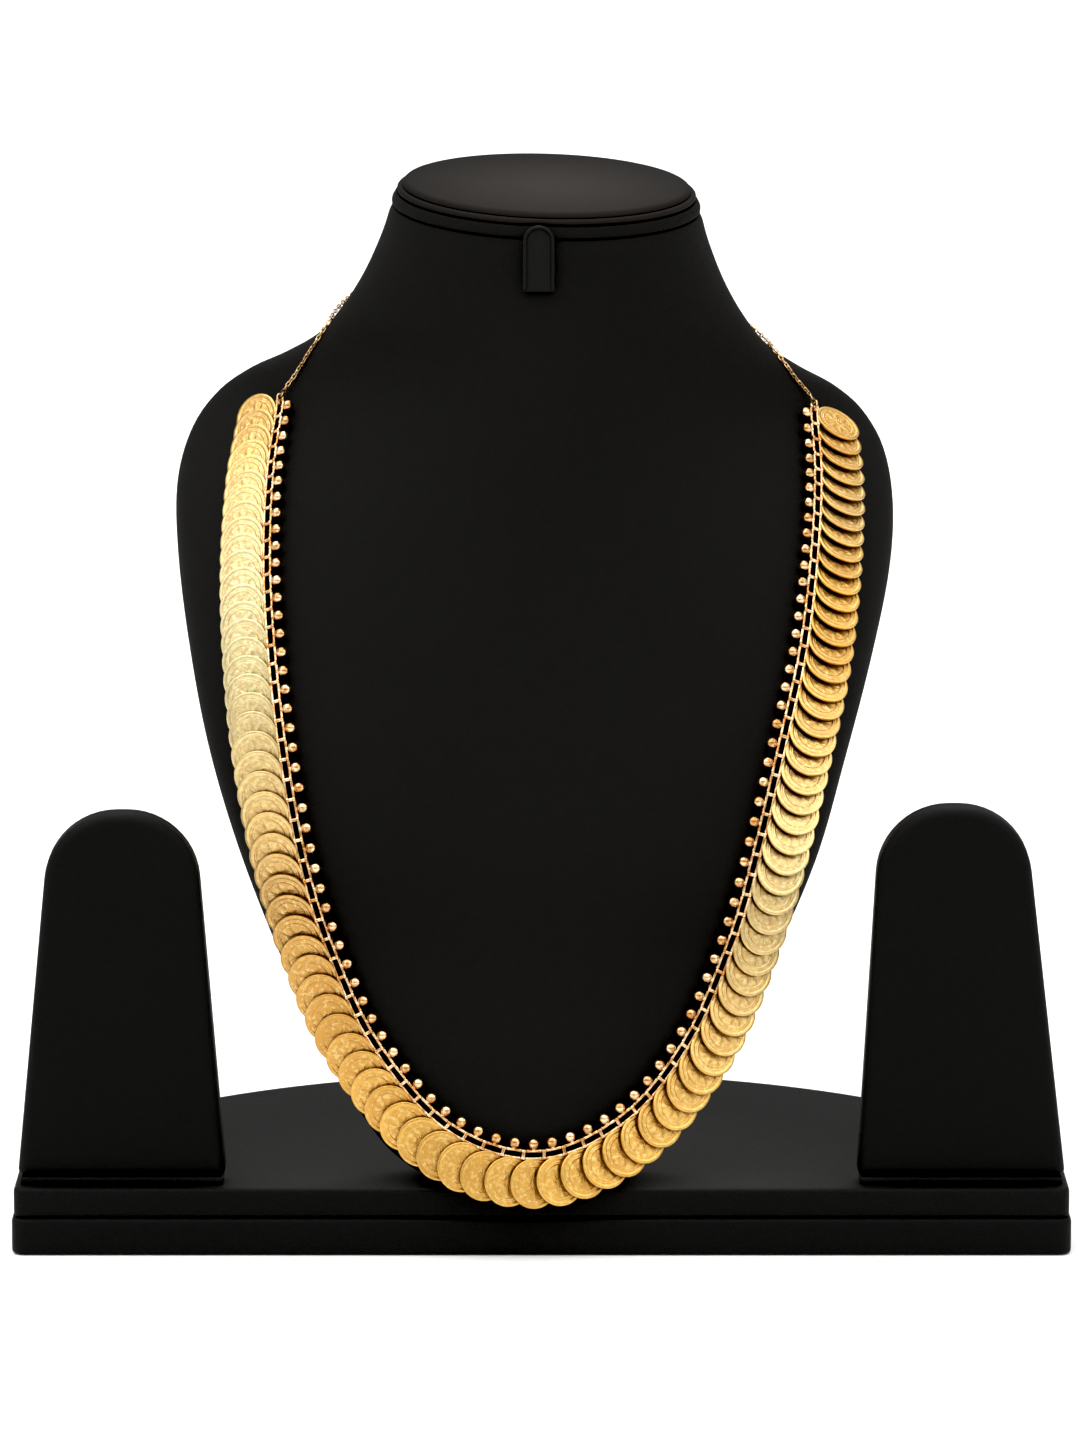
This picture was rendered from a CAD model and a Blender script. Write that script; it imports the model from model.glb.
import math

import bpy
import numpy as np
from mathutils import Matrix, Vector


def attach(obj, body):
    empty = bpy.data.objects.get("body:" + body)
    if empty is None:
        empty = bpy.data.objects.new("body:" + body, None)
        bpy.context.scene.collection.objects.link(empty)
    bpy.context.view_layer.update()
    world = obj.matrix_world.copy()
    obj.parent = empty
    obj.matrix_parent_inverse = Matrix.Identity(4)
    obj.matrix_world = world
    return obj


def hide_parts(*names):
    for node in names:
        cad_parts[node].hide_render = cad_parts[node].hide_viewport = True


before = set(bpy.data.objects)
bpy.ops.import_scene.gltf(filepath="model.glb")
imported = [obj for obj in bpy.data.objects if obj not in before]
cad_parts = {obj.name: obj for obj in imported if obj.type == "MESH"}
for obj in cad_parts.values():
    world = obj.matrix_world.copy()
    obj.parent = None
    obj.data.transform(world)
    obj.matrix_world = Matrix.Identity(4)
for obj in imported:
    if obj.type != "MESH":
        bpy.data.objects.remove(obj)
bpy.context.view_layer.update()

MM = 0.001
MIDDLE_Y = 83.09
SEAT_GAP = 0.2
rng = np.random.default_rng(7)

# Driving dimensions, as in the construction

BASE_W = 335
BASE_R = 169
BASE_CENTRE_Y = 6
LOWER_T = 11.7
UPPER_T = 9.5
BOARD_INSET = 0.7
BOARD_ROLL = 1.3
BOARD_MIDDLE_Y = 78
CORNER_R = 4
BASE_TOP_Z = LOWER_T + SEAT_GAP + UPPER_T

POST_X = 132.8
POST_W = 65.8
POST_T = 13
POST_TOP_R = 22.9
POST_TOP_FLAT = 3.2
# Each post: name, place, height of its top and how far that stands to the right
POSTS = (("left", -POST_X, 140.4, 0.8), ("right", POST_X, 142.4, -3.0))
POST_CORNER_R = 2
POST_ROLL = 3.2
POST_BACK_ROLL = POST_ROLL * 0.6
POST_CROWN = 0.7
POST_FRONT_Y = 5
FOOT_T = 2.3
FOOT_INSET = 0.8
FOOT_ROLL = 0.6
FOOT_Z = BASE_TOP_Z + SEAT_GAP
POST_Z = FOOT_Z + FOOT_T + SEAT_GAP

SIDE_LEAN = math.radians(1.7)
LEAN_FROM_Z = 22
LEAN_OVER = 60
TOP_TILT = math.radians(6.2)
TILT_FROM_Z = 275
CHEST_BACK_SHAPE = 0.6
# The bust's sections: z, middle, half width, front, side, back, fullness in front
BUST = np.array([
    [21.6, -7.3, 30, 6, 20, 31, 1],
    [26, -7.2, 37, 1.5, 22, 35, 1],
    [32, -7, 44, -0.5, 24, 39, 1],
    [46, -6.6, 55, 2, 28, 45, 1],
    [66, -6.1, 67.5, 6, 34, 52, 1],
    [91, -5.4, 80, 12, 42, 61, 1],
    [121, -4.8, 92.9, 18.3, 53, 72, 1.33],
    [151, -4.9, 102.3, 27.1, 65, 84, 1.32],
    [181, -3.7, 110.7, 36.8, 91.7, 109.4, 1.1],
    [206, -2.5, 116.3, 44.6, 120.2, 135.3, 0.89],
    [225, -2, 117.5, 50, 140.1, 153, 0.69],
    [241, -1.1, 113.7, 54, 151.2, 163.3, 0.49],
    [253, -0.3, 105.7, 56.9, 151.9, 167.7, 0.36],
    [261, 0.3, 95.8, 58.9, 146.7, 168.9, 0.35],
    [267, 0.6, 84.7, 60.4, 139.9, 169, 0.44],
    [274, 0.8, 74.3, 62.4, 131.6, 169, 0.54],
    [283, 0.8, 66.7, 64.9, 125, 169.5, 0.66],
    [295, 1, 59.3, 67.7, 123, 171, 0.83],
    [309, 1.3, 53.3, 70.2, 122, 172, 0.96],
    [319.6, 1.5, 50.1, 71.7, 121.5, 171.3, 1],
])
NECK_Z, NECK_X, NECK_R = BUST[-1, :3]
NECK_Y = BUST[-1, 4]
BUST_ROLL = 1.1
BUST_COLUMNS = 216
BUST_STEP_Z = 2.2

COLLAR_T = 3.8
COLLAR_TOP_R = 49.4
COLLAR_ROLL = 0.9
DISC_R = 48.5
DISC_PIPE_T = 2.1
DISC_FACE_R = 46.8
DISC_T = 4
DISC_CROWN = 1.5
TAB_W = 10.2
TAB_L = 21.2
TAB_T = 1.6
TAB_FROM_Z = 301.8
TAB_SHIFT_X = 2
TAB_CLEARANCE = 0.8
TAB_LEAN = math.radians(-9)
TAB_ROLL = 0.35
TAB_PIPE_R = 0.62

COIN_R = 7.9
COIN_TILT = math.radians(17.5)
STAND_OFF = 3.2
# The links' roll off the bust, in degrees, and where along the strand it grows
ROLL_START = 1
ROLL_FULL = 8
ROLL_FROM = 0.1
ROLL_OVER = 0.245
BALL_D = 3.5
BALL_B = -3.7
INNER_RAIL_B = -1.45
OUTER_RAIL_B = 0.95
COIN_B = 8.8
BAR_FROM_B = -1.9
BAR_TO_B = 1.2
BAR_MIDDLE_B = (INNER_RAIL_B + OUTER_RAIL_B) / 2
RAIL_R = 0.46
RAIL_SWELL = (0.14, 0.1)
RAIL_GAP = 0.35
LINKS_PER_RUN = 7
RUNS = 13
LINK_COUNT = LINKS_PER_RUN * RUNS
# Where the coin links touch the bust, seen from the front, as [x, z]
ROUTE = np.array([
    [-83.6, 252.2], [-86.1, 234.6], [-86.7, 209.8], [-84.8, 183], [-81, 154.8],
    [-74.9, 124.5], [-65.7, 94.5], [-52.3, 66.8], [-29, 41.1], [-1.1, 32.9], [25.2, 43.3],
    [45.8, 67.5], [58.6, 95.9], [67.5, 126], [75, 155], [81.9, 182.2], [85.9, 207.4],
    [88.1, 231.7], [87.2, 249.3],
])

# A coin: height of its field and rim above its middle plane, edge, and rings of points
COIN_SIDES = 72
COIN_FIELD = 0.24
COIN_EDGE = 0.43
COIN_BEVEL = 0.16
COIN_ROUND_R = 7.8
COIN_ROUND = 0.06
RIM_FROM = 6.38
RIM_RISE = 0.5
FRONT_R = (0.3, 0.6, 0.9, 1.25, 1.65, 2.1, 2.55, 3.0, 3.55, 4.05, 4.5, 4.95, 5.23, 5.36,
           5.51, 5.68, 5.86, 6.05, 6.25, 6.40, 6.63, 6.88, 7.25, 7.68, 7.82)
BACK_R = (0.3, 5.1, 6.38, 6.88, 7.68, 7.82)
# Rosette petals: first angle as a share of a petal, inner and outer radius, width, height
PETAL_ANGLE = math.pi / 4
PETALS = ((0, 1.35, 4.95, 0.36, 0.15), (0.5, 1.05, 3.0, 0.30, 0.12))
BOSS_H = 0.16
# Ridges: middle radius, width, height
LINE_RIDGE = (5.46, 0.5, 0.14)
BEAD_RIDGE = (6.05, 0.6, 0.15)
RIM_RIDGE = (7.25, 0.9, 0.02)

RING_R = 1.9
RING_WIRE = 0.8
RING_PAST_BAR = 0.5
RING_GAP = math.radians(7)
RING_TURN = 0.9
CHAIN_D = 1.5
# The chain's way round the neck: angle from the right over the back, z, clearance
CHAIN_LEFT = np.array([
    [216.6, 255.9, 1.8], [215.7, 257.5, 1.5], [214.4, 259.6, 1.2], [212.6, 261.7, 0.8],
    [209.4, 264, 0.55], [203.6, 267.5, 0.4], [197.1, 271.1, 0.4], [189.2, 275.2, 0.4],
    [181.2, 279.3, 0.4], [172, 283.3, 0.4], [161, 286.8, 0.4], [148, 289.6, 0.4],
    [134, 291.5, 0.4], [118, 292.7, 0.4], [98.5, 293, 0.4],
])
CHAIN_RIGHT = np.array([
    [-28.9, 258.8, 1.4], [-27.9, 260.4, 1.2], [-26.4, 262.2, 0.9], [-22.8, 264.8, 0.6],
    [-17.8, 267.5, 0.4], [-12.2, 270.3, 0.4], [-3.1, 273.3, 0.4], [6, 276.6, 0.4],
    [16, 280.3, 0.4], [28, 284.3, 0.4], [41, 287.8, 0.4], [55, 290.5, 0.4],
    [68, 292.3, 0.4], [81.5, 293, 0.4],
])
LINK_L = 2.45
LINK_W = 1.5
LINK_WIRE = 0.44
LINK_SLACK = 0.05
LINK_SWING = 9
# How much nearer the links lie to the bust than the construction's chain
CHAIN_SNUG = 0.3
CLASP_L = 12
CLASP_D = 3
CLASP_EYE_R = 1.2
CLASP_CLEARANCE = 0.35
CLASP_ANGLE = 90
CLASP_Z = 293

# The photograph's viewpoint
CAMERA_X = -0.48
CAMERA_DISTANCE = 2500
CAMERA_ELEVATION = math.radians(9.7)
CAMERA_TARGET_Y = 60
CAMERA_TARGET_Z = 161.33
SENSOR = 36
FOCAL_PX = 7812.5
IMAGE_H = 1440
CLIP = (0.01, 60)

# Light and tones: each brightness, and the direction's parts between which it changes
WALL_FRONT = 0.93
WALL_BACK = 0.31
WALLS_Y = (-0.5, 0.6)
GAP_SHARE = 0.35
GAP_Y = (-0.99, -0.86)
CEILING = 2.8
CEILING_Z = (0.5, 0.9)
CEILING_RIGHT = 0.15
CEILING_X = (-0.2, 0.45)
RIGHT_SCREEN = 0.72
SCREEN_Z = (0.35, 0.6)
SCREEN_X = (-0.1, 0.3)
STUDIO_WHITE = (1, 0.99, 0.97, 1)
# The paper under the base, in metres
FLOOR_HALF = 30
FLOOR_Z = -0.0002
FLOOR_LOOKS = {"Base Color": (0.86, 0.86, 0.855, 1), "Roughness": 0.9, "Specular IOR Level": 0.1}
# Soft lights: name, place and size in metres, power
LIGHTS = (("left", (-1.5, -0.7, 1.3), (1.0, 1.2), 5),
          ("right", (1.6, -0.5, 1.2), (0.8, 0.8), 3.5),
          ("back", (0.2, 1.5, 2.0), (1.4, 0.9), 9))
LIGHTS_AIM = (0, 0, 0.15)
BLACK_POINT = (0.010, 0.010, 0.010)

# Paler patches of a cover: centre, lowest z, full within, none beyond, share, colour
BASE_BLOOM = ((0, 20, BASE_TOP_Z), BASE_TOP_Z - 0.1, 45, 115, 0.75, (0.0237, 0.0237, 0.0231))
DISC_BLOOM = ((4, 108, NECK_Z + 8), NECK_Z, 8, 50, 0.9, (0.0265, 0.0230, 0.0205))
# Covers: dark and light colour, grain's size and depth, roughness, specular, any paler patch
COVERS = {
    "bust_cover": ((0.0088, 0.0087, 0.0086), (0.0103, 0.0102, 0.0100), 0.62, 0.07, 0.75, 0.04),
    "disc_cover": ((0.0061, 0.0056, 0.0053), (0.0129, 0.0117, 0.0110), 0.62, 0.05, 0.7, 0.05,
                   DISC_BLOOM),
    "base_cover": ((0.0052, 0.0053, 0.0053), (0.0062, 0.0063, 0.0063), 0.95, 0.08, 0.55, 0.08,
                   BASE_BLOOM),
    "post_cover": ((0.0050, 0.0051, 0.0051), (0.0060, 0.0061, 0.0061), 0.62, 0.04, 0.6, 0.08),
    "tab_cover": ((0.0062, 0.0062, 0.0062), (0.0087, 0.0087, 0.0087), 0.5, 0.04, 0.5, 0.1),
}
# Size of a cover's slow waves and their depth, in millimetres
WAVE_SIZE = 40
WAVE_DEPTH = 0.5
# A cover's grain, as shares of its size: bends, their reach, crease width and fine grain
BEND_SIZE = 2.2
BEND_REACH = 1.2
CREASE_W = 0.22
FINE_SIZE = 0.35
# The creases' share in a cover's tone; the slow waves have the rest
CREASE_TONE = 0.55
# How far the roughness of a cover or of plate varies
ROUGH_SPREAD = 0.12

# The coins' plate, new, tarnished and worn pale, and its marks
COIN_NEW = (0.82, 0.508, 0.124)
COIN_TARNISHED = (0.50, 0.260, 0.058)
COIN_PALE = (0.66, 0.605, 0.35)
COIN_HOLLOWS = (0.58, 0.30, 0.08)
COIN_BRIGHT = (0.93, 0.70, 0.32)
COIN_COVERED = (0.10, 0.035, 0.008)
WORKED_SHARE = 0.42
# Sizes of the worked field's figure, its grit, the tarnish's patches and the brush marks
FIGURE_SIZE = 1.25
GRIT_SIZE = 0.4
PATCH_SIZE = 7
BRUSH_SIZE = 0.5
GRIT_SHARE = 0.35
FIGURE_DEPTH = 0.2
BRUSH_DEPTH = 0.02
BRUSH_STRENGTH = 0.6
# Between which levels of the figure a hollow is dark and a high place bright
HOLLOW_LEVELS = (0.54, 0.44)
BRIGHT_LEVELS = (0.53, 0.61)
# How far past the rim's foot the figure fades, and how much of it the rim keeps
RIM_FADE = (0.25, -0.05)
RIM_KEEPS = 0.6
RIM_ROUGHNESS = 0.30
FIELD_ROUGHNESS = 0.36
PATCH_TARNISH = 0.4
TONE_TARNISH = 0.8
# The dark line: how far past the next coin's edge it fades, and how weak it is outside
LINE_FADE = (0.40, 0.05)
LINE_SIDES = (0.80, 0.35, 0.1, 1)
# Wear along the strand: the coin in its middle, its spread in coins, its share
PALE_WEAR = ((14, 11, 0.95), (64, 8, 0.65), (85, 3, 0.3))
TARNISH = ((31, 7, 1), (0, 5, 0.35))
LAST_TARNISH = (86, 3, 0.5)
RANDOM_TARNISH = 0.5
# The dark line's share: least, and where along the strand it grows: coin, over, share
COVER_SHADE = 0.1
COVER_SHADE_GROWS = ((14, 8, 0.45), (53, 8, 0.4))
# Where a coin would cover the last one, which none does
FAR_OFF = (9, 9)

# Polished plate: pale and deep colour, roughness; then its patches
LADDER_GOLD = ((0.84, 0.62, 0.38), (0.48, 0.23, 0.07), 0.2)
CHAIN_GOLD = ((0.76, 0.53, 0.27), (0.42, 0.25, 0.11), 0.24)
WIRE_PATCH = 2.1
WIRE_LEVELS = (0.40, 0.60)
WIRE_ROUGH_SIZE = 0.4
WIRE_BRUSH_SIZE = 0.3


# Camera, floor and light

def make_camera():
    camera = bpy.data.objects.new("camera", bpy.data.cameras.new("camera"))
    bpy.context.collection.objects.link(camera)
    camera.data.sensor_fit = "VERTICAL"
    camera.data.sensor_height = SENSOR
    camera.data.lens = FOCAL_PX * SENSOR / IMAGE_H
    camera.data.clip_start, camera.data.clip_end = CLIP
    away = CAMERA_DISTANCE * math.cos(CAMERA_ELEVATION)
    up = CAMERA_DISTANCE * math.sin(CAMERA_ELEVATION)
    camera.location = (CAMERA_X * MM, (CAMERA_TARGET_Y - MIDDLE_Y - away) * MM,
                       (CAMERA_TARGET_Z + up) * MM)
    camera.rotation_euler = (math.pi / 2 - CAMERA_ELEVATION, 0, 0)
    bpy.context.scene.camera = camera


def make_floor():
    mesh = bpy.data.meshes.new("floor")
    w, z = FLOOR_HALF, FLOOR_Z
    mesh.from_pydata([(-w, -w, z), (w, -w, z), (w, w, z), (-w, w, z)], [], [(0, 1, 2, 3)])
    floor = bpy.data.objects.new("floor", mesh)
    bpy.context.collection.objects.link(floor)
    material = new_material("floor_paper")
    for name, value in FLOOR_LOOKS.items():
        material.node_tree.nodes["shader"].inputs[name].default_value = value
    mesh.materials.append(material)


def make_light(name, place, size, power):
    """A rectangular soft light at place, in metres, that faces the middle of the bust."""
    data = bpy.data.lights.new(name, "AREA")
    data.shape = "RECTANGLE"
    data.size, data.size_y = size
    data.energy = power
    light = bpy.data.objects.new(name, data)
    bpy.context.collection.objects.link(light)
    light.location = place
    aim = (Vector(LIGHTS_AIM) - light.location).normalized()
    light.rotation_euler = aim.to_track_quat("-Z", "Y").to_euler()
    light.visible_camera = False


def make_world():
    """A studio: a soft ceiling, a screen at the right, a dim room behind, a dark gap in front."""
    world = bpy.data.worlds.new("studio")
    bpy.context.scene.world = world
    world.use_nodes = True
    world.node_tree.nodes.clear()
    g = Graph(world.node_tree)

    def ramp(axis, span, start, end):
        return g.ramp(g.part(g.places["Generated"], axis), *span, start, end, "SMOOTHSTEP")

    walls = g.math("MULTIPLY", ramp("Y", WALLS_Y, WALL_FRONT, WALL_BACK),
                   ramp("Y", GAP_Y, GAP_SHARE, 1))
    ceiling = g.math("MULTIPLY", ramp("Z", CEILING_Z, 0, CEILING),
                     ramp("X", CEILING_X, 1, CEILING_RIGHT))
    screen = g.math("MULTIPLY", ramp("Z", SCREEN_Z, 0, RIGHT_SCREEN), ramp("X", SCREEN_X, 0, 1))
    back = g.nodes.new("ShaderNodeBackground")
    back.inputs["Color"].default_value = STUDIO_WHITE
    g.put(g.math("ADD", walls, g.math("ADD", ceiling, screen)), back.inputs["Strength"])
    g.put(back.outputs[0], g.nodes.new("ShaderNodeOutputWorld").inputs["Surface"])


def set_tones():
    """Straight display tones above a camera's black point."""
    view = bpy.context.scene.view_settings
    view.view_transform = "Standard"
    view.use_curve_mapping = True
    view.curve_mapping.black_level = BLACK_POINT
    view.curve_mapping.update()


# Materials

def new_material(name):
    """An empty node material whose Principled shader is the node named shader."""
    material = bpy.data.materials.new(name)
    material.use_nodes = True
    nodes = material.node_tree.nodes
    nodes.clear()
    shader = nodes.new("ShaderNodeBsdfPrincipled")
    shader.name = "shader"
    out = nodes.new("ShaderNodeOutputMaterial")
    material.node_tree.links.new(shader.outputs[0], out.inputs["Surface"])
    return material


class Graph:
    """Short ways to add nodes to a material or a world."""

    def __init__(self, tree):
        self.nodes, self.links = tree.nodes, tree.links
        self.places = self.nodes.new("ShaderNodeTexCoord").outputs
        self.place = self.places["Object"]

    def look(self, name, value):
        self.put(value, self.nodes["shader"].inputs[name])

    def put(self, value, socket):
        if isinstance(value, bpy.types.NodeSocket):
            self.links.new(value, socket)
        else:
            socket.default_value = value

    def noise(self, size_mm, detail=2.0, roughness=0.5):
        node = self.nodes.new("ShaderNodeTexNoise")
        self.links.new(self.place, node.inputs["Vector"])
        node.inputs["Scale"].default_value = 1 / (size_mm * MM)
        node.inputs["Detail"].default_value = detail
        node.inputs["Roughness"].default_value = roughness
        return node.outputs["Fac"]

    def cells(self, size_mm, vector):
        """Distance to the nearest edge between cells."""
        node = self.nodes.new("ShaderNodeTexVoronoi")
        node.feature = "DISTANCE_TO_EDGE"
        self.links.new(vector, node.inputs["Vector"])
        node.inputs["Scale"].default_value = 1 / (size_mm * MM)
        return node.outputs["Distance"]

    def part(self, vector, axis):
        node = self.nodes.new("ShaderNodeSeparateXYZ")
        self.links.new(vector, node.inputs[0])
        return node.outputs[axis]

    def distance(self, a, b):
        node = self.nodes.new("ShaderNodeVectorMath")
        node.operation = "DISTANCE"
        self.put(a, node.inputs[0])
        self.put(b, node.inputs[1])
        return node.outputs["Value"]

    def math(self, operation, a, b=0.0, c=0.0):
        node = self.nodes.new("ShaderNodeMath")
        node.operation = operation
        for value, socket in zip((a, b, c), node.inputs):
            self.put(value, socket)
        return node.outputs[0]

    def ramp(self, value, from_low, from_high, to_low=0.0, to_high=1.0, kind="LINEAR"):
        node = self.nodes.new("ShaderNodeMapRange")
        node.interpolation_type = kind
        for number, socket in zip((value, from_low, from_high, to_low, to_high), node.inputs):
            self.put(number, socket)
        return node.outputs[0]

    def mix(self, share, a, b):
        node = self.nodes.new("ShaderNodeMix")
        node.data_type = "RGBA"
        self.put(share, node.inputs["Factor"])
        self.put((*a, 1) if isinstance(a, tuple) else a, node.inputs[6])
        self.put((*b, 1) if isinstance(b, tuple) else b, node.inputs[7])
        return node.outputs[2]

    def bump(self, height, depth_mm, strength=1.0, normal=None):
        node = self.nodes.new("ShaderNodeBump")
        node.inputs["Strength"].default_value = strength
        node.inputs["Distance"].default_value = depth_mm * MM
        self.links.new(height, node.inputs["Height"])
        if normal is not None:
            self.links.new(normal, node.inputs["Normal"])
        return node.outputs[0]


def leatherette(name, dark, light, grain_mm, grain_depth, roughness, specular, bloom=None):
    """Black covering cloth with a pebbled grain; a bloom is a paler patch round a place."""
    material = new_material(name)
    g = Graph(material.node_tree)
    bend = g.noise(grain_mm * BEND_SIZE, 1)
    warped = g.nodes.new("ShaderNodeVectorMath")
    warped.operation = "MULTIPLY_ADD"
    for value, socket in zip((bend, (grain_mm * MM * BEND_REACH,) * 3, g.place), warped.inputs):
        g.put(value, socket)
    creases = g.ramp(g.cells(grain_mm, warped.outputs[0]), 0.0, CREASE_W)
    fine = g.noise(grain_mm * FINE_SIZE, 3, 0.6)
    soft = g.noise(WAVE_SIZE, 3, 0.55)
    rest = g.math("MULTIPLY", soft, 1 - CREASE_TONE)
    colour = g.mix(g.math("MULTIPLY_ADD", creases, CREASE_TONE, rest), dark, light)
    if bloom:
        (x, y, z), above_z, near_mm, far_mm, share, pale = bloom
        on_top = g.ramp(g.part(g.place, "Z"), (above_z - 0.5) * MM, above_z * MM)
        away = g.distance(g.place, (x * MM, (y - MIDDLE_Y) * MM, z * MM))
        near = g.ramp(away, far_mm * MM, near_mm * MM, 0.0, share)
        colour = g.mix(g.math("MULTIPLY", on_top, near), colour, pale)
    g.look("Base Color", colour)
    g.look("Roughness", g.math("MULTIPLY_ADD", fine, ROUGH_SPREAD, roughness - ROUGH_SPREAD / 2))
    g.look("Specular IOR Level", specular)
    sag = g.bump(soft, WAVE_DEPTH, 0.5)
    pebbles = g.bump(creases, grain_depth, 1.0, sag)
    g.look("Normal", g.bump(fine, grain_depth * 0.5, 1.0, pebbles))
    return material


def coin_gold():
    """Satin plate: a smooth rim round a worked field, dark where the next coin covers it."""
    material = new_material("coin_gold")
    g = Graph(material.node_tree)

    def mark(name):
        node = g.nodes.new("ShaderNodeAttribute")
        node.attribute_name = name
        return node.outputs["Fac"]

    def distance_from(x, y):
        centre = g.nodes.new("ShaderNodeCombineXYZ")
        g.put(x, centre.inputs[0])
        g.put(y, centre.inputs[1])
        return g.math("MULTIPLY", g.distance(own.outputs[0], centre.outputs[0]), 2 * COIN_R)

    own = g.nodes.new("ShaderNodeUVMap")
    own.uv_map = "coin"
    inside = g.ramp(distance_from(0.5, 0.5), RIM_FROM + RIM_FADE[0], RIM_FROM + RIM_FADE[1],
                    RIM_KEEPS, 1)
    figure = g.noise(FIGURE_SIZE, 3, 0.62)
    grit = g.noise(GRIT_SIZE, 2, 0.6)
    hollows = g.math("MULTIPLY", g.ramp(figure, *HOLLOW_LEVELS), inside)
    bright = g.math("MULTIPLY", g.ramp(figure, *BRIGHT_LEVELS), inside)
    patina = g.math("MULTIPLY_ADD", g.noise(PATCH_SIZE, 2), PATCH_TARNISH,
                    g.math("MULTIPLY", mark("tone"), TONE_TARNISH))
    plate = g.mix(patina, COIN_NEW, COIN_TARNISHED)
    pale = g.mix(mark("pale"), plate, COIN_PALE)
    worked = g.mix(g.math("MULTIPLY", hollows, WORKED_SHARE), pale, COIN_HOLLOWS)
    worked = g.mix(g.math("MULTIPLY", bright, WORKED_SHARE), worked, COIN_BRIGHT)
    covered = g.ramp(distance_from(mark("cover_x"), mark("cover_y")),
                     COIN_R + LINE_FADE[0], COIN_R + LINE_FADE[1])
    sides = g.ramp(g.part(own.outputs[0], "X"), *LINE_SIDES)
    shade = g.math("MULTIPLY", g.math("MULTIPLY", covered, sides), mark("shade"))
    g.look("Base Color", g.mix(shade, worked, COIN_COVERED))
    g.look("Metallic", 1)
    g.look("Roughness", g.ramp(inside, RIM_KEEPS, 1, RIM_ROUGHNESS, FIELD_ROUGHNESS))
    height = g.math("MULTIPLY", g.math("MULTIPLY_ADD", grit, GRIT_SHARE, figure), inside)
    brushed = g.bump(g.noise(BRUSH_SIZE, 3, 0.6), BRUSH_DEPTH, BRUSH_STRENGTH)
    g.look("Normal", g.bump(height, FIGURE_DEPTH, 1.0, brushed))
    return material


def wire_gold(name, pale, deep, roughness):
    """Polished plate on the ladder, the balls, the rings and the chain."""
    material = new_material(name)
    g = Graph(material.node_tree)
    g.look("Base Color", g.mix(g.ramp(g.noise(WIRE_PATCH, 2), *WIRE_LEVELS), pale, deep))
    g.look("Metallic", 1)
    g.look("Roughness", g.math("MULTIPLY_ADD", g.noise(WIRE_ROUGH_SIZE, 2), ROUGH_SPREAD,
                               roughness - ROUGH_SPREAD / 2))
    g.look("Normal", g.bump(g.noise(WIRE_BRUSH_SIZE, 2), BRUSH_DEPTH, BRUSH_STRENGTH))
    return material


# Mesh making

def grid_faces(rows, columns):
    """Quads between rings of points, ring after ring."""
    i, j = np.meshgrid(np.arange(rows - 1), np.arange(columns), indexing="ij")
    a, b = i * columns + j, i * columns + (j + 1) % columns
    return np.stack([a, b, b + columns, a + columns], -1).reshape(-1, 4)


# What each coin's points carry for its material
COIN_MARKS = ("tone", "pale", "shade", "cover_x", "cover_y")


class Shape:
    """Points and faces gathered for one piece, in millimetres."""

    def __init__(self):
        self.points, self.faces, self.maps, self.marks, self.count = [], [], [], [], 0

    def add(self, rings, capped=False, maps=None, marks=(0,) * len(COIN_MARKS)):
        """A skin through rings of equal counts; a cap is a fan from an end ring's middle."""
        rings = np.asarray(rings, float)
        rows, columns = rings.shape[:2]
        faces = grid_faces(rows, columns).tolist()
        points = rings.reshape(-1, 3)
        for row, order in ((0, -1), (rows - 1, 1)) if capped else ():
            points = np.vstack([points, rings[row].mean(0)])
            at = row * columns
            for j in range(columns):
                edge = [at + j, at + (j + 1) % columns][::order]
                faces.append([*edge, len(points) - 1])
        self.points.append(points)
        self.faces += [[k + self.count for k in face] for face in faces]
        self.maps.append(np.zeros((len(points), 2)) if maps is None else maps)
        self.marks.append(np.tile(marks, (len(points), 1)))
        self.count += len(points)


def solid(rings):
    """A shape of one skin with both ends capped."""
    shape = Shape()
    shape.add(rings, capped=True)
    return shape


def make_piece(name, shape, material, nodes, sharp_deg=40, coins=False):
    """A shape's mesh object in the row frame; coins also carry their map and marks."""
    mesh = bpy.data.meshes.new(name)
    points = (np.vstack(shape.points) - (0, MIDDLE_Y, 0)) * MM
    mesh.from_pydata(points.tolist(), [], shape.faces)
    if coins:
        corners = np.empty(len(mesh.loops), int)
        mesh.loops.foreach_get("vertex_index", corners)
        own_map = mesh.uv_layers.new(name="coin")
        own_map.uv.foreach_set("vector", np.vstack(shape.maps)[corners].astype(np.float32).ravel())
        marks = np.vstack(shape.marks).astype(np.float32)
        for column, mark in enumerate(COIN_MARKS):
            layer = mesh.attributes.new(mark, "FLOAT", "POINT")
            layer.data.foreach_set("value", marks[:, column].copy())
    mesh.validate()
    mesh.shade_smooth()
    mesh.set_sharp_from_angle(angle=math.radians(sharp_deg))
    mesh.materials.append(material)
    piece = bpy.data.objects.new(name, mesh)
    bpy.context.collection.objects.link(piece)
    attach(piece, "root")
    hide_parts(*nodes)
    return piece


def unit(v):
    v = np.asarray(v, float)
    return v / np.linalg.norm(v, axis=-1, keepdims=True)


def angles_round(count):
    """Angles all the way round in equal steps."""
    return np.arange(count) * 2 * np.pi / count


def circle(count):
    a = angles_round(count)
    return np.stack([np.cos(a), np.sin(a)], -1)


def at_height(flat, z):
    return np.column_stack([flat, np.full(len(flat), z)])


def rolled_edge(roll, steps):
    """A quarter round: how far in from the side and how deep below the face, step by step."""
    return [(roll * (1 - math.cos(a)), roll * (1 - math.sin(a)))
            for a in np.radians(np.linspace(0, 90, steps))]


def lathe(profile, count):
    """Rings of a profile of (radius, height) points turned about Z."""
    c = circle(count)
    return np.array([[[r * x, r * y, z] for x, y in c] for r, z in profile])


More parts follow.
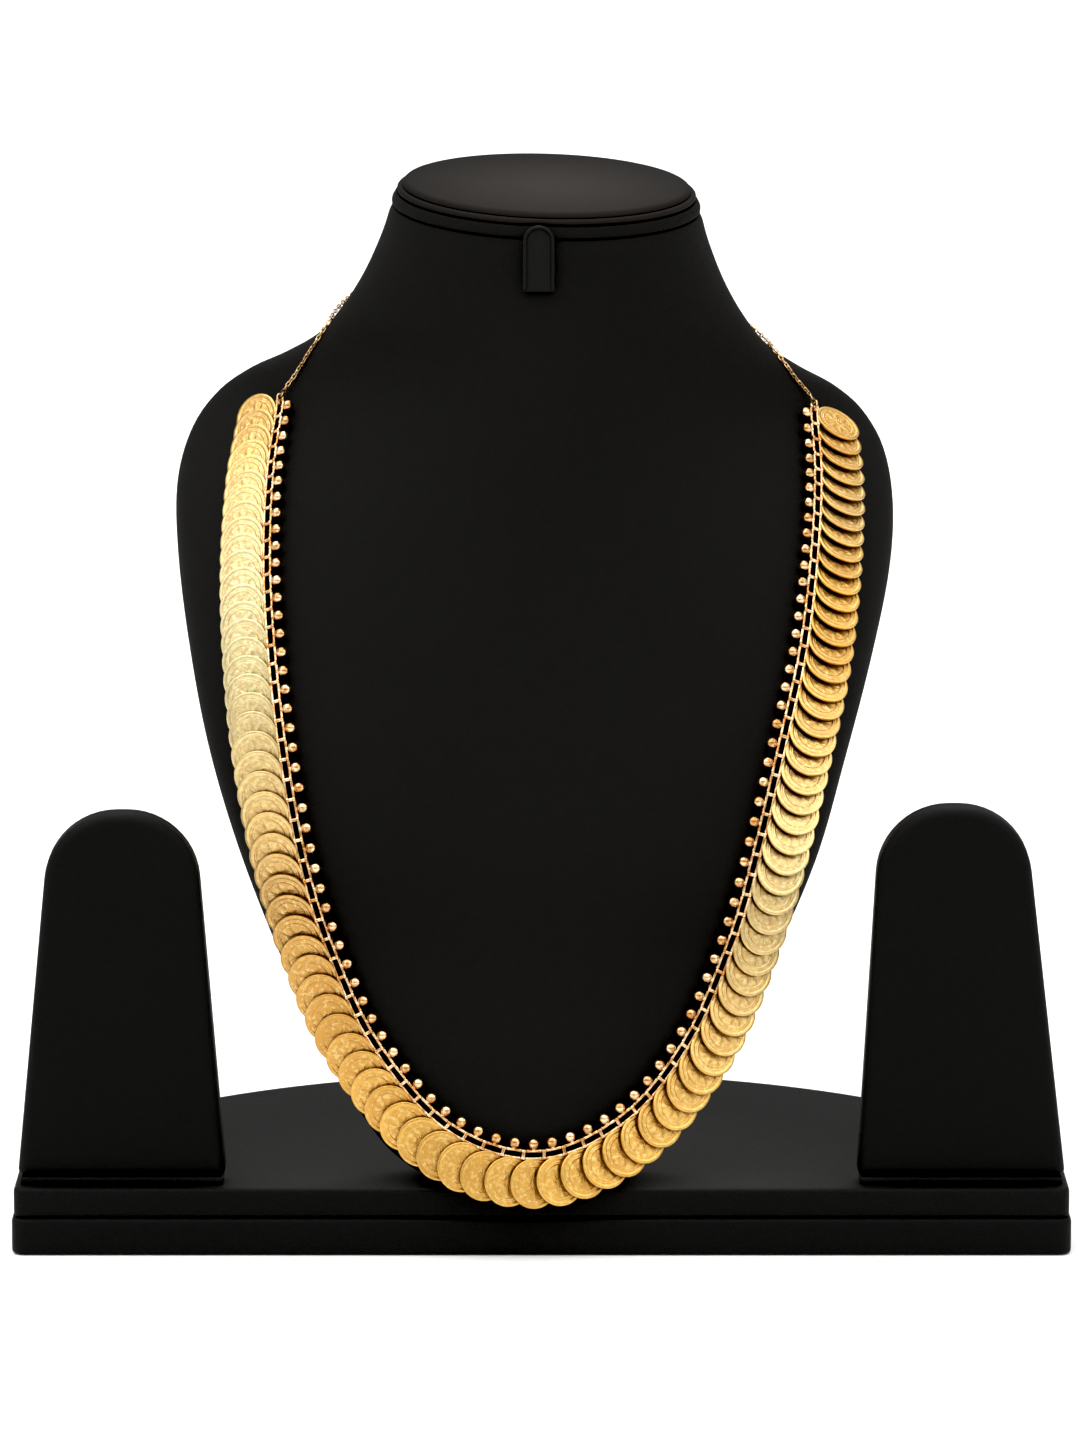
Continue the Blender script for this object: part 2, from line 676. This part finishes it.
def arc(centre, radius, start_deg, end_deg, steps):
    a = np.radians(np.linspace(start_deg, end_deg, steps))
    return np.array(centre) + radius * np.stack([np.cos(a), np.sin(a)], -1)


def tube(points, radius, sides, closed=False):
    """Rings of a round tube along points."""
    points = np.asarray(points, float)
    if closed:
        ahead, behind = np.roll(points, -1, 0), np.roll(points, 1, 0)
    else:
        ahead = np.vstack([points[1:], points[-1:]])
        behind = np.vstack([points[:1], points[:-1]])
    t = unit(ahead - behind)
    flat = unit(np.cross(points[1] - points[0], points[len(points) // 2] - points[0]))
    u = unit(np.cross(t, flat))
    v = np.cross(t, u)
    c = circle(sides)[None]
    rings = points[:, None] + radius * (c[..., :1] * u[:, None] + c[..., 1:] * v[:, None])
    return np.concatenate([rings, rings[:1]]) if closed else rings


def placed_in(f, points):
    """Points of a local frame [x axis, y axis, z axis, origin] in the stand's frame."""
    points = np.asarray(points, float)
    return points[..., :1] * f[0] + points[..., 1:2] * f[1] + points[..., 2:3] * f[2] + f[3]


# Curves and the bust's surface, by the construction's formulas

def smooth(t):
    t = np.clip(t, 0, 1)
    return t * t * (3 - 2 * t)


def curve(points, steps):
    """Catmull-Rom curve through points."""
    p = np.vstack([2 * points[0] - points[1], points, 2 * points[-1] - points[-2]])
    t = (np.arange(steps) / steps)[:, None]
    spans = []
    for a, b, c, d in zip(p, p[1:], p[2:], p[3:]):
        spans.append(0.5 * (2 * b + (c - a) * t + (2 * a - 5 * b + 4 * c - d) * t ** 2
                            + (3 * b - a - 3 * c + d) * t ** 3))
    return np.vstack(spans + [points[-1:]])


def lengths(points):
    return np.concatenate([[0], np.cumsum(np.linalg.norm(np.diff(points, axis=0), axis=1))])


def along(values, marks, s):
    """Values at the distances s, from values at the distances marks."""
    s = np.asarray(s, float)
    i = np.clip(np.searchsorted(marks, s, side="right") - 1, 0, len(marks) - 2)
    f = ((s - marks[i]) / (marks[i + 1] - marks[i]))[..., None]
    f = np.clip(f, 0, 1)
    return values[i] * (1 - f) + values[i + 1] * f


# Slopes of the bust's table, from the sections on both sides of each one
padded = np.pad(BUST, ((1, 1), (0, 0)), "edge")
steps = padded[2:] - padded[:-2]
SLOPES = steps / steps[:, :1]


def bust_row(z):
    z = np.asarray(z, float)
    i = np.clip(np.searchsorted(BUST[:, 0], z, side="right") - 1, 0, len(BUST) - 2)
    h = (BUST[i + 1, 0] - BUST[i, 0])[..., None]
    t = (z - BUST[i, 0])[..., None] / h
    u = 1 - t
    row = ((1 + 2 * t) * u * u * BUST[i] + t * t * (3 - 2 * t) * BUST[i + 1]
           + h * t * u * (u * SLOPES[i] - t * SLOPES[i + 1]))
    return np.moveaxis(row, -1, 0)[1:]


def lean_drop(z):
    """How far a section drops for each millimetre to the right."""
    return math.tan(SIDE_LEAN) * smooth((np.asarray(z, float) - LEAN_FROM_Z) / LEAN_OVER)


def front_y(x, z):
    """How far back the bust's front lies at x and z."""
    level = z + (x - bust_row(z)[0]) * lean_drop(z)
    middle, half, front, side, _, full = bust_row(level)
    s = np.sqrt(1 - np.minimum(1, np.abs(x - middle) / half) ** 2)
    return side - (side - front) * (full * s + (1 - full) * s ** 4)


def front_normal(x, z, e=0.5):
    dx = front_y(x + e, z) - front_y(x - e, z)
    dz = front_y(x, z + e) - front_y(x, z - e)
    return unit(np.stack([dx, np.full_like(dx, -2 * e), dz], -1))


def section_point(angle, z):
    """A point of the section at height z, at an angle in degrees over the back."""
    middle, half, front, side, back, full = bust_row(z)
    c, s = np.cos(np.radians(angle)), np.sin(np.radians(angle))
    neck = smooth((z - TILT_FROM_Z) / (NECK_Z - TILT_FROM_Z))
    shape = CHEST_BACK_SHAPE * (1 - neck) + neck
    behind = (back - side) * np.maximum(s, 0) ** shape
    ahead = -(side - front) * (full * np.maximum(-s, 0) + (1 - full) * np.maximum(-s, 0) ** 4)
    y = np.where(s > 0, behind, ahead)
    rise = y * math.tan(TOP_TILT) * neck - half * c * lean_drop(z)
    return np.stack([middle + half * c, side + y, z + rise], -1)


def section_normal(angle, z, e=1.5):
    angle, z = np.asarray(angle, float), np.asarray(z, float)
    across = section_point(angle + e, z) - section_point(angle - e, z)
    up = section_point(angle, z + e) - section_point(angle, z - e)
    return unit(np.cross(across, up))


route_xz = curve(ROUTE, 12)
route_normals = front_normal(route_xz[:, 0], route_xz[:, 1])
route_points = np.stack([route_xz[:, 0], front_y(route_xz[:, 0], route_xz[:, 1]),
                         route_xz[:, 1]], -1) + STAND_OFF * route_normals
route_marks = lengths(route_points)
strand_l = route_marks[-1]
pitch = strand_l / (LINK_COUNT - 1)


def strand_frame(s):
    """[outward, along, normal, place] at distance s along the strand."""
    place = along(route_points, route_marks, s)
    t = unit(along(route_points, route_marks, s + pitch / 2)
             - along(route_points, route_marks, s - pitch / 2))
    rough = along(route_normals, route_marks, s)
    level = unit(rough - (rough @ t) * t)
    across = np.cross(t, level)
    grown = smooth((s / strand_l - ROLL_FROM) / ROLL_OVER)
    roll = math.radians(ROLL_START + (ROLL_FULL - ROLL_START) * float(grown))
    c, d = math.cos(roll), math.sin(roll)
    return [across * c + level * d, t, level * c - across * d, place]


# Display stand

def board_ring(inset, z):
    """The board's outline, set in by inset, as a ring at height z."""
    w, r, c = BASE_W / 2 - inset, BASE_R - inset, CORNER_R - min(inset, CORNER_R - 0.5)
    front = [[x, inset] for x in np.linspace(-w + c, w - c, 34)[1:-1]]
    right = arc((w - c, inset + c), c, -90, 0, 7)
    meet = math.degrees(math.acos(w / r))
    side_y = BASE_CENTRE_Y + r * math.sin(math.radians(meet))
    edge = [[w, y] for y in np.linspace(inset + c, side_y, 5)[1:-1]]
    back = arc((0, BASE_CENTRE_Y), r, meet, 180 - meet, 73)
    far = [[-w, y] for y in np.linspace(side_y, inset + c, 5)[1:-1]]
    left = arc((-w + c, inset + c), c, 180, 270, 7)
    return at_height(np.vstack([front, right, edge, back, far, left]), z)


def board(name, low_z, high_z, inset, material, node):
    """A covered board: rounded edges, and faces in rings towards its middle."""
    edge = rolled_edge(BOARD_ROLL, 5)
    flat_h = high_z - low_z - 2 * BOARD_ROLL
    rings = [board_ring(inset + back, low_z + depth) for depth, back in edge]
    rings += [board_ring(inset, low_z + BOARD_ROLL + share * flat_h) for share in (0.25, 0.5, 0.75)]
    rings += [board_ring(inset + back, high_z - depth) for back, depth in edge]
    middle = np.array([0, BOARD_MIDDLE_Y, 0])

    def towards_middle(ring, shares):
        return [(ring - middle) * (share, share, 1) + middle for share in shares]

    shape = solid(towards_middle(rings[0], (0.3, 0.7)) + rings
                  + towards_middle(rings[-1], (0.97, 0.85, 0.6, 0.3)))
    make_piece(name, shape, material, [node])


def post_outline(inset, top_z, shift):
    """Front view of a post, set in by inset, as (x, z) from the post's foot."""
    h = top_z - POST_Z - POST_TOP_R
    r, corner = POST_TOP_R - inset, max(POST_CORNER_R - inset * 0.5, 0.8)
    sides, turns = [], []
    for way in (1, -1):
        centre = np.array([shift + way * POST_TOP_FLAT / 2, h])
        arm = np.array([way * POST_W / 2, 0]) - centre
        turn = math.atan2(arm[1], arm[0]) + way * math.acos(POST_TOP_R / math.hypot(*arm))
        out = np.array([math.cos(turn), math.sin(turn)])
        touch = centre + r * out
        down = np.array([way * out[1], -way * out[0]])
        foot = touch + down * (touch[1] - inset - corner) / -down[1]
        side = np.linspace(touch, foot, 14)
        round_off = arc((foot[0] - way * corner, inset + corner), corner,
                        90 - way * 90, 90 - way * 180, 5)
        sides.append(np.vstack([side, round_off[1:]]))
        turns.append(math.degrees(turn) % 360)
    left_arc = arc((shift - POST_TOP_FLAT / 2, h), r, turns[1], 90, 13)
    right_arc = arc((shift + POST_TOP_FLAT / 2, h), r, 90, (turns[0] + 180) % 360 - 180, 13)
    bottom = np.linspace(sides[0][-1], sides[1][-1], 12)[1:-1]
    return np.vstack([left_arc, right_arc, sides[0][1:], bottom, sides[1][:0:-1]])


def post(name, x, top_z, shift, material, node):
    """A board under a thin pad and a cover: flat crowned faces, rolled edges."""
    front, back = POST_FRONT_Y, POST_FRONT_Y + POST_T
    middle = np.array([x, 0, POST_Z + 0.45 * (top_z - POST_Z)])

    def ring(inset, y):
        flat = post_outline(inset, top_z, shift)
        return np.column_stack([flat[:, 0] + x, np.full(len(flat), y), flat[:, 1] + POST_Z])

    def towards_middle(edge, share, y):
        flat = (edge - middle) * (share, 0, share) + middle
        flat[:, 1] = y
        return flat

    edge_front = [ring(inset, front + POST_CROWN + depth)
                  for inset, depth in rolled_edge(POST_ROLL, 6)]
    edge_back = [ring(inset, back - depth) for inset, depth in rolled_edge(POST_BACK_ROLL, 6)]
    face = [towards_middle(edge_front[-1], share, front + POST_CROWN * share ** 2)
            for share in (0.93, 0.8, 0.6, 0.35, 0.15)]
    rear = [towards_middle(edge_back[-1], share, back) for share in (0.85, 0.5)]
    shape = solid(face[::-1] + edge_front[::-1] + edge_back + rear)
    piece = make_piece(name, shape, material, [node])


def foot(name, x, material, node):
    """The thin board under a post, with rolled edges and corners."""
    half = POST_W / 2 - FOOT_INSET
    low = np.array([x - half, POST_FRONT_Y + FOOT_INSET])
    high = np.array([x + half, POST_FRONT_Y + POST_T - FOOT_INSET])

    def ring(inset, z):
        x0, y0 = low + inset + FOOT_ROLL
        x1, y1 = high - inset - FOOT_ROLL
        corners = (x1, y0), (x1, y1), (x0, y1), (x0, y0)
        return at_height(np.vstack([arc(corner, FOOT_ROLL, 90 * k - 90, 90 * k, 4)
                                    for k, corner in enumerate(corners)]), z)

    edge = rolled_edge(FOOT_ROLL, 4)
    rings = [ring(back, FOOT_Z + depth) for depth, back in edge]
    rings += [ring(back, FOOT_Z + FOOT_T - depth) for back, depth in edge]
    make_piece(name, solid(rings), material, [node])


def neck_frame(height):
    """The neck's top: tilted to the front and leaned to the right."""
    sin_t, cos_t = math.sin(TOP_TILT), math.cos(TOP_TILT)
    sin_l, cos_l = math.sin(SIDE_LEAN), math.cos(SIDE_LEAN)
    across = np.array([cos_l, 0, -sin_l])
    back = np.array([sin_t * sin_l, cos_t, sin_t * cos_l])
    up = np.array([cos_t * sin_l, -sin_t, cos_t * cos_l])
    return [across, back, up, np.array([NECK_X, NECK_Y, NECK_Z]) + height * up]


def bust(material):
    """The covered bust: a smooth skin through its sections, turned in at both ends."""
    angles = np.arange(BUST_COLUMNS) * 360 / BUST_COLUMNS
    levels = []
    for low, high in zip(BUST[:-1, 0], BUST[1:, 0]):
        steps = max(4, int((high - low) / BUST_STEP_Z))
        levels += list(np.linspace(low, high, steps + 1)[:-1])
    levels = np.array(levels + [NECK_Z])
    skin = np.array([section_point(angles, np.full(BUST_COLUMNS, z)) for z in levels])
    roll = BUST_ROLL

    def turned_in(end, way):
        """Rings that roll an end of the skin inwards; way points out of that end."""
        ring = end - way * roll
        out = unit((ring - end.mean(0)) * (1, 1, 0))
        return [ring - out * roll * (1 - math.cos(a)) + way * roll * math.sin(a)
                for a in np.radians(np.linspace(0, 90, 5))]

    top_edge = turned_in(skin[-1], neck_frame(0)[2])
    low_edge = turned_in(skin[0], np.array([0, 0, -1.0]))
    keep = (levels > levels[0] + roll) & (levels < NECK_Z - roll * 1.3)
    shape = solid(low_edge[::-1] + list(skin[keep]) + top_edge)
    make_piece("bust_cover", shape, material, ["bust_body"], sharp_deg=75)


def collar(material):
    """The cover's turned band under the disc, slightly slack along its edges."""
    count, t, roll = 192, COLLAR_T, COLLAR_ROLL
    middle_r = (NECK_R + COLLAR_TOP_R) / 2
    profile = [(middle_r - 9, 0), (NECK_R - roll - 0.5, 0.02),
               *arc((NECK_R - roll, roll), roll, -80, 10, 7), (middle_r + 0.25, t * 0.52),
               *arc((COLLAR_TOP_R - roll, t - roll), roll, 10, 95, 7),
               (COLLAR_TOP_R - 3, t - 0.05), (middle_r - 9, t - 0.1)]
    rings = lathe(profile, count)
    a = angles_round(count)
    slack = 0.10 * np.sin(17 * a + 1.1) * np.sin(5 * a)
    slack += 0.07 * np.sin(41 * a + 0.4 * np.sin(3 * a))
    rings[2:-2] -= unit(rings[2] * (1, 1, 0)) * np.abs(slack)[:, None]
    shape = solid(placed_in(neck_frame(SEAT_GAP), rings))
    make_piece("collar_band", shape, material, ["collar"], sharp_deg=75)


def top_disc(material):
    """The padded disc: a crowned face, and a groove between it and its piped edge."""
    pipe_r = DISC_PIPE_T / 2
    shoulder = arc((DISC_FACE_R - 1.75, DISC_T - 1.6), 1.7, -12, 80, 9)
    edge_r, edge_z = shoulder[-1]
    profile = [(DISC_R - 6, 0.0), (DISC_R - pipe_r - 0.1, 0.02),
               *arc((DISC_R - pipe_r, pipe_r), pipe_r, -80, 100, 11),
               (DISC_FACE_R - 0.75, DISC_PIPE_T - 0.25), *shoulder]
    for u in np.linspace(0.97, 0.03, 14):
        profile.append((edge_r * u, edge_z + (DISC_T + DISC_CROWN - edge_z) * (1 - u ** 2.4)))
    shape = solid(placed_in(neck_frame(COLLAR_T + 2 * SEAT_GAP), lathe(profile, 144)))
    piece = make_piece("top_disc_pad", shape, material, ["top_disc"], sharp_deg=75)


def hang_tab(material):
    """The tab: a thin arched leaf with a piped edge up both sides and over the top."""
    lower_end = section_point(270.0, float(TAB_FROM_Z)) - (TAB_SHIFT_X, TAB_CLEARANCE, 0)
    up = np.array([0, -math.sin(TAB_LEAN), math.cos(TAB_LEAN)])
    out = np.array([0, -math.cos(TAB_LEAN), -math.sin(TAB_LEAN)])
    f = [np.array([1.0, 0, 0]), up, out, lower_end]
    half, straight, roll = TAB_W / 2, TAB_L - TAB_W / 2, TAB_ROLL

    def outline(inset):
        r = half - inset
        low = [[x, inset] for x in np.linspace(-r, r, 9)]
        right = [[r, y] for y in np.linspace(inset, straight, 9)[1:-1]]
        arch = arc((0, straight), r, 0, 180, 25)
        left = [[-r, y] for y in np.linspace(straight, inset, 9)[1:-1]]
        return np.vstack([low, right, arch, left])

    leaf_t = TAB_T * 0.55
    edge = ((1.2, 0), (roll, 0), (roll * 0.3, roll * 0.3), (0, roll), (0, leaf_t - roll),
            (roll * 0.3, leaf_t - roll * 0.3), (roll, leaf_t), (1.6, leaf_t), (3, leaf_t))
    shape = solid(placed_in(f, [at_height(outline(inset), z) for inset, z in edge]))
    r = half - TAB_PIPE_R - 0.05
    path = np.vstack([[[r, y] for y in np.linspace(0.75, straight, 14)[:-1]],
                      arc((0, straight), r, 0, 180, 25),
                      [[-r, y] for y in np.linspace(straight, 0.75, 14)[1:]]])
    path = at_height(path, leaf_t + 0.12)
    shape.add(placed_in(f, tube(path, TAB_PIPE_R, 10)), capped=True)
    make_piece("hang_tab_leaf", shape, material, ["hang_tab"], sharp_deg=60)


# Necklace

def coin_relief(r, angle):
    """Height of a coin's face above its middle plane, in millimetres."""
    def ridge(middle, width, height):
        return height * np.clip(1 - ((r - middle) / (width / 2)) ** 2, 0, 1)

    h = np.full_like(r, COIN_FIELD)
    for first, inner, outer, wide, high in PETALS:
        off = (angle / PETAL_ANGLE - first + 0.5) % 1 - 0.5
        reach = np.clip((r - inner) / (outer - inner), 0, 1)
        width = wide * np.sin(np.pi * reach ** 0.8) ** 0.7 + 1e-6
        leaf = high * np.clip(1 - (np.abs(off) / width) ** 2, 0, 1) * ((r > inner) & (r < outer))
        h = np.maximum(h, COIN_FIELD + leaf)
    beads = 0.5 + 0.5 * np.cos(angle * COIN_SIDES / 2)
    h = h + BOSS_H * np.clip(1 - r ** 2, 0, 1) + ridge(*LINE_RIDGE) + ridge(*BEAD_RIDGE) * beads
    rim = smooth((r - RIM_FROM) / RIM_RISE)
    return h + rim * (COIN_EDGE - COIN_FIELD) + ridge(*RIM_RIDGE)


def coin_rings():
    """Rings of one coin in its own frame, from the back's middle to the front's, and its map."""
    c, angle = circle(COIN_SIDES), angles_round(COIN_SIDES)
    rings, maps = [], []

    def ring(r, z):
        rings.append(np.column_stack([c * r, np.broadcast_to(z, COIN_SIDES)]))
        maps.append(c * r / (2 * COIN_R) + 0.5)

    def rounded(r):
        return COIN_ROUND if r > COIN_ROUND_R else 0

    for r in BACK_R:
        rim = float(smooth((r - RIM_FROM) / RIM_RISE))
        ring(r, -(COIN_FIELD + (COIN_EDGE - COIN_FIELD) * rim) + rounded(r))
    ring(COIN_R, -COIN_EDGE + COIN_BEVEL)
    ring(COIN_R, COIN_EDGE - COIN_BEVEL)
    for r in FRONT_R[::-1]:
        ring(r, coin_relief(np.full(COIN_SIDES, r), angle) - rounded(r))
    return np.array(rings), np.vstack(maps + [[[0.5, 0.5]] * 2])


def barrel(profile, count=12):
    """A turned profile of (height, radius) points whose axis lies along local X."""
    rings = lathe([(r, h) for h, r in profile], count)
    return rings[..., [2, 0, 1]]


def knuckle_profile():
    """The bar between two links with the rails' eyes round it."""
    eye, neck, width = 1.05, 0.66, 1.0
    profile = []
    for start in (BAR_FROM_B - 0.05, BAR_TO_B - width + 0.1):
        middle = start + width / 2
        profile += [(start, neck), (start + 0.08, eye - 0.16), (middle - 0.22, eye),
                    (middle + 0.22, eye), (start + width - 0.08, eye - 0.16), (start + width, neck)]
    return profile


def ball_rings():
    a = np.linspace(0.12, np.pi - 0.12, 13)
    return lathe(BALL_D / 2 * np.stack([np.sin(a), np.cos(a)], -1), 20)


def rail(b, y0, y1):
    """A rail of the ladder: a wire that swells a little towards the bars."""
    ys = np.linspace(y0, y1, 7)
    share = np.abs(np.linspace(-1, 1, 7)) ** 3
    c = circle(8)
    wide, high = RAIL_SWELL
    return np.array([[[b + x * (RAIL_R + wide * s), y, z * (RAIL_R + high * s)]
                      for x, z in c[::-1]] for y, s in zip(ys, share)])


def grown(i, row):
    """A share that grows from 0 over some coins from the first."""
    first, over, share = row
    return share * float(smooth((i - first) / over))


def coin_marks(i):
    """What a coin's points carry, in the order of COIN_MARKS."""
    def worn(rows):
        return sum(share * math.exp(-((i - middle) / span) ** 2) for middle, span, share in rows)

    pale = worn(PALE_WEAR)
    deep = worn(TARNISH) + grown(i, LAST_TARNISH)
    tone = min(1, RANDOM_TARNISH * rng.random() + deep)
    shade = COVER_SHADE + sum(grown(i, row) for row in COVER_SHADE_GROWS)
    if i == LINK_COUNT - 1:
        return tone, pale, shade, *FAR_OFF
    f, ahead = strand_frame(i * pitch), strand_frame((i + 1) * pitch)
    to_next = ahead[3] + COIN_B * ahead[0] - f[3] - COIN_B * f[0]
    along_coin = math.cos(COIN_TILT) * f[1] - math.sin(COIN_TILT) * f[2]
    size = 2 * COIN_R
    return tone, pale, shade, to_next @ f[0] / size + 0.5, to_next @ along_coin / size + 0.5


def coin_run(run, coin_material, wire_material):
    """Seven coins as one piece, and their ladder with its balls as another."""
    node = f"coin_run_{run + 1:02d}"
    coin, coin_map = coin_rings()
    c, s = math.cos(COIN_TILT), math.sin(COIN_TILT)
    tilted = np.stack([coin[..., 0] + COIN_B, coin[..., 1] * c + coin[..., 2] * s,
                       -coin[..., 1] * s + coin[..., 2] * c], -1)
    coins, ladder = Shape(), Shape()
    stem = barrel([(BALL_B + BALL_D * 0.40, 0.8), (BALL_B + BALL_D / 2, 0.66),
                   (INNER_RAIL_B - 0.35, 0.66), (INNER_RAIL_B, 0.8)], 10)
    lug = barrel([(OUTER_RAIL_B - 0.1, 0.5), (OUTER_RAIL_B + 0.5, 0.42)], 8)
    for k in range(LINKS_PER_RUN):
        i = run * LINKS_PER_RUN + k
        f = strand_frame(i * pitch)
        coins.add(placed_in(f, tilted), capped=True, maps=coin_map, marks=coin_marks(i))
        for b in (INNER_RAIL_B, OUTER_RAIL_B):
            ladder.add(placed_in(f, rail(b, -pitch / 2 + RAIL_GAP, pitch / 2 - RAIL_GAP)))
        ladder.add(placed_in(f, ball_rings() + (BALL_B, 0, 0)), capped=True)
        ladder.add(placed_in(f, stem))
        ladder.add(placed_in(f, lug))
        bars = [pitch / 2, -pitch / 2] if i == 0 else [pitch / 2]
        for y in bars:
            ladder.add(placed_in(f, barrel(knuckle_profile()) + (0, y, 0)), capped=True)
    make_piece(f"{node}_coins", coins, coin_material, [node], sharp_deg=50,
               coins=True)
    make_piece(f"{node}_ladder", ladder, wire_material, [node], sharp_deg=60)


def jump_ring(name, s, way, material, node):
    """A wire ring round the bar at the strand's end, with its two ends nearly met."""
    f = strand_frame(s)
    a = np.linspace(RING_GAP, 2 * np.pi - RING_GAP, 40) - way * np.pi / 2 + RING_TURN
    centre = (BAR_MIDDLE_B, way * (pitch / 2 + RING_PAST_BAR), 0)
    path = np.stack([np.zeros_like(a), RING_R * np.cos(a), RING_R * np.sin(a)], -1) + centre
    shape = solid(placed_in(f, tube(path, RING_WIRE / 2, 10)))
    make_piece(name, shape, material, [node], sharp_deg=60)


def chain_path(s, way, route):
    """The chain's middle line, from inside its jump ring to its clasp end."""
    f = strand_frame(s)
    reach = way * (pitch / 2 + RING_PAST_BAR)
    start = f[3] + BAR_MIDDLE_B * f[0] + (reach + way * (RING_R - 0.3)) * f[1]
    table = curve(route, 8)
    rest = section_point(table[:, 0], table[:, 1])
    lift = CHAIN_D / 2 + table[:, 2:] - CHAIN_SNUG
    rest = rest + lift * section_normal(table[:, 0], table[:, 1])
    return np.vstack([start, rest])


def link_path():
    """The middle line of one oval link, long axis along Y, flat in X and Y."""
    half_w = (LINK_W - LINK_WIRE) / 2
    straight = (LINK_L - LINK_WIRE) / 2 - half_w
    return at_height(np.vstack([arc((0, straight), half_w, 0, 180, 8),
                                arc((0, -straight), half_w, 180, 360, 8)]), 0)


def fine_chain(name, s, way, route, material, node):
    """Small oval links, each turned a quarter from the one before."""
    path = chain_path(s, way, route)
    marks = lengths(path)
    count = int(round(marks[-1] / (LINK_L - 2 * LINK_WIRE - LINK_SLACK)))
    step = marks[-1] / count
    shape = Shape()
    wire = tube(link_path(), LINK_WIRE / 2, 6, closed=True)
    for k in range(count):
        at = (k + 0.5) * step
        here = along(path, marks, at)
        t = unit(along(path, marks, at + step / 2) - along(path, marks, at - step / 2))
        side = unit(np.cross(t, (0.0, 0.0, 1.0)))
        up = np.cross(side, t)
        a = math.radians(45 + 90 * (k % 2) + rng.uniform(-LINK_SWING, LINK_SWING))
        x = math.cos(a) * side + math.sin(a) * up
        shape.add(placed_in([x, t, np.cross(x, t), here], wire))
    make_piece(name, shape, material, [node], sharp_deg=60)


def clasp(material):
    """A turned barrel with grooves and an eye at each end."""
    normal = section_normal(CLASP_ANGLE, CLASP_Z)
    place = section_point(CLASP_ANGLE, CLASP_Z) + (CLASP_D / 2 + CLASP_CLEARANCE) * normal
    eye_x = CLASP_L / 2 - CLASP_EYE_R
    half = eye_x - CLASP_EYE_R + RING_WIRE / 4
    r = CLASP_D / 2
    profile = [(-half, 0.5), (-half + 0.1, 0.9), (-half + 0.5, 1.25), (-half + 1.0, r - 0.05)]
    for groove in (-half + 1.3, half - 1.9):
        profile += [(groove, r), (groove + 0.15, r - 0.22), (groove + 0.3, r),
                    (groove + 0.45, r - 0.22), (groove + 0.6, r)]
        if groove < 0:
            profile += [(-0.25, r), (-0.1, r - 0.14), (0.1, r - 0.14), (0.25, r)]
    profile += [(half - 1.0, r - 0.05), (half - 0.5, 1.25), (half - 0.1, 0.9), (half, 0.5)]
    shape = solid(barrel(profile, 32) + place)
    eye = at_height(CLASP_EYE_R * circle(28), 0)[:, [0, 2, 1]]
    for x in (-eye_x, eye_x):
        shape.add(tube(eye + (x, 0, 0) + place, RING_WIRE / 2, 10, closed=True))
    make_piece("clasp_barrel", shape, material, ["clasp"], sharp_deg=50)


def build():
    set_tones()
    make_camera()
    make_floor()
    make_world()
    for row in LIGHTS:
        make_light(*row)

    covers = {name: leatherette(name, *row) for name, row in COVERS.items()}
    base_cover = covers["base_cover"]
    board("base_lower_cover", 0, LOWER_T, 0, base_cover, "base_lower")
    board("base_upper_cover", LOWER_T + SEAT_GAP, BASE_TOP_Z, BOARD_INSET, base_cover, "base_upper")
    for side, x, top_z, shift in POSTS:
        foot(f"foot_{side}_board", x, base_cover, f"foot_{side}")
        post(f"post_{side}_cover", x, top_z, shift, covers["post_cover"], f"post_{side}")
    bust(covers["bust_cover"])
    collar(covers["bust_cover"])
    top_disc(covers["disc_cover"])
    hang_tab(covers["tab_cover"])

    coin_material = coin_gold()
    wire_material = wire_gold("wire_gold", *LADDER_GOLD)
    chain_material = wire_gold("chain_gold", *CHAIN_GOLD)
    for run in range(RUNS):
        coin_run(run, coin_material, wire_material)
    jump_ring("ring_left_wire", 0, -1, chain_material, "ring_left")
    jump_ring("ring_right_wire", strand_l, 1, chain_material, "ring_right")
    fine_chain("chain_left_links", 0, -1, CHAIN_LEFT, chain_material, "chain_left")
    fine_chain("chain_right_links", strand_l, 1, CHAIN_RIGHT, chain_material, "chain_right")
    clasp(chain_material)


build()
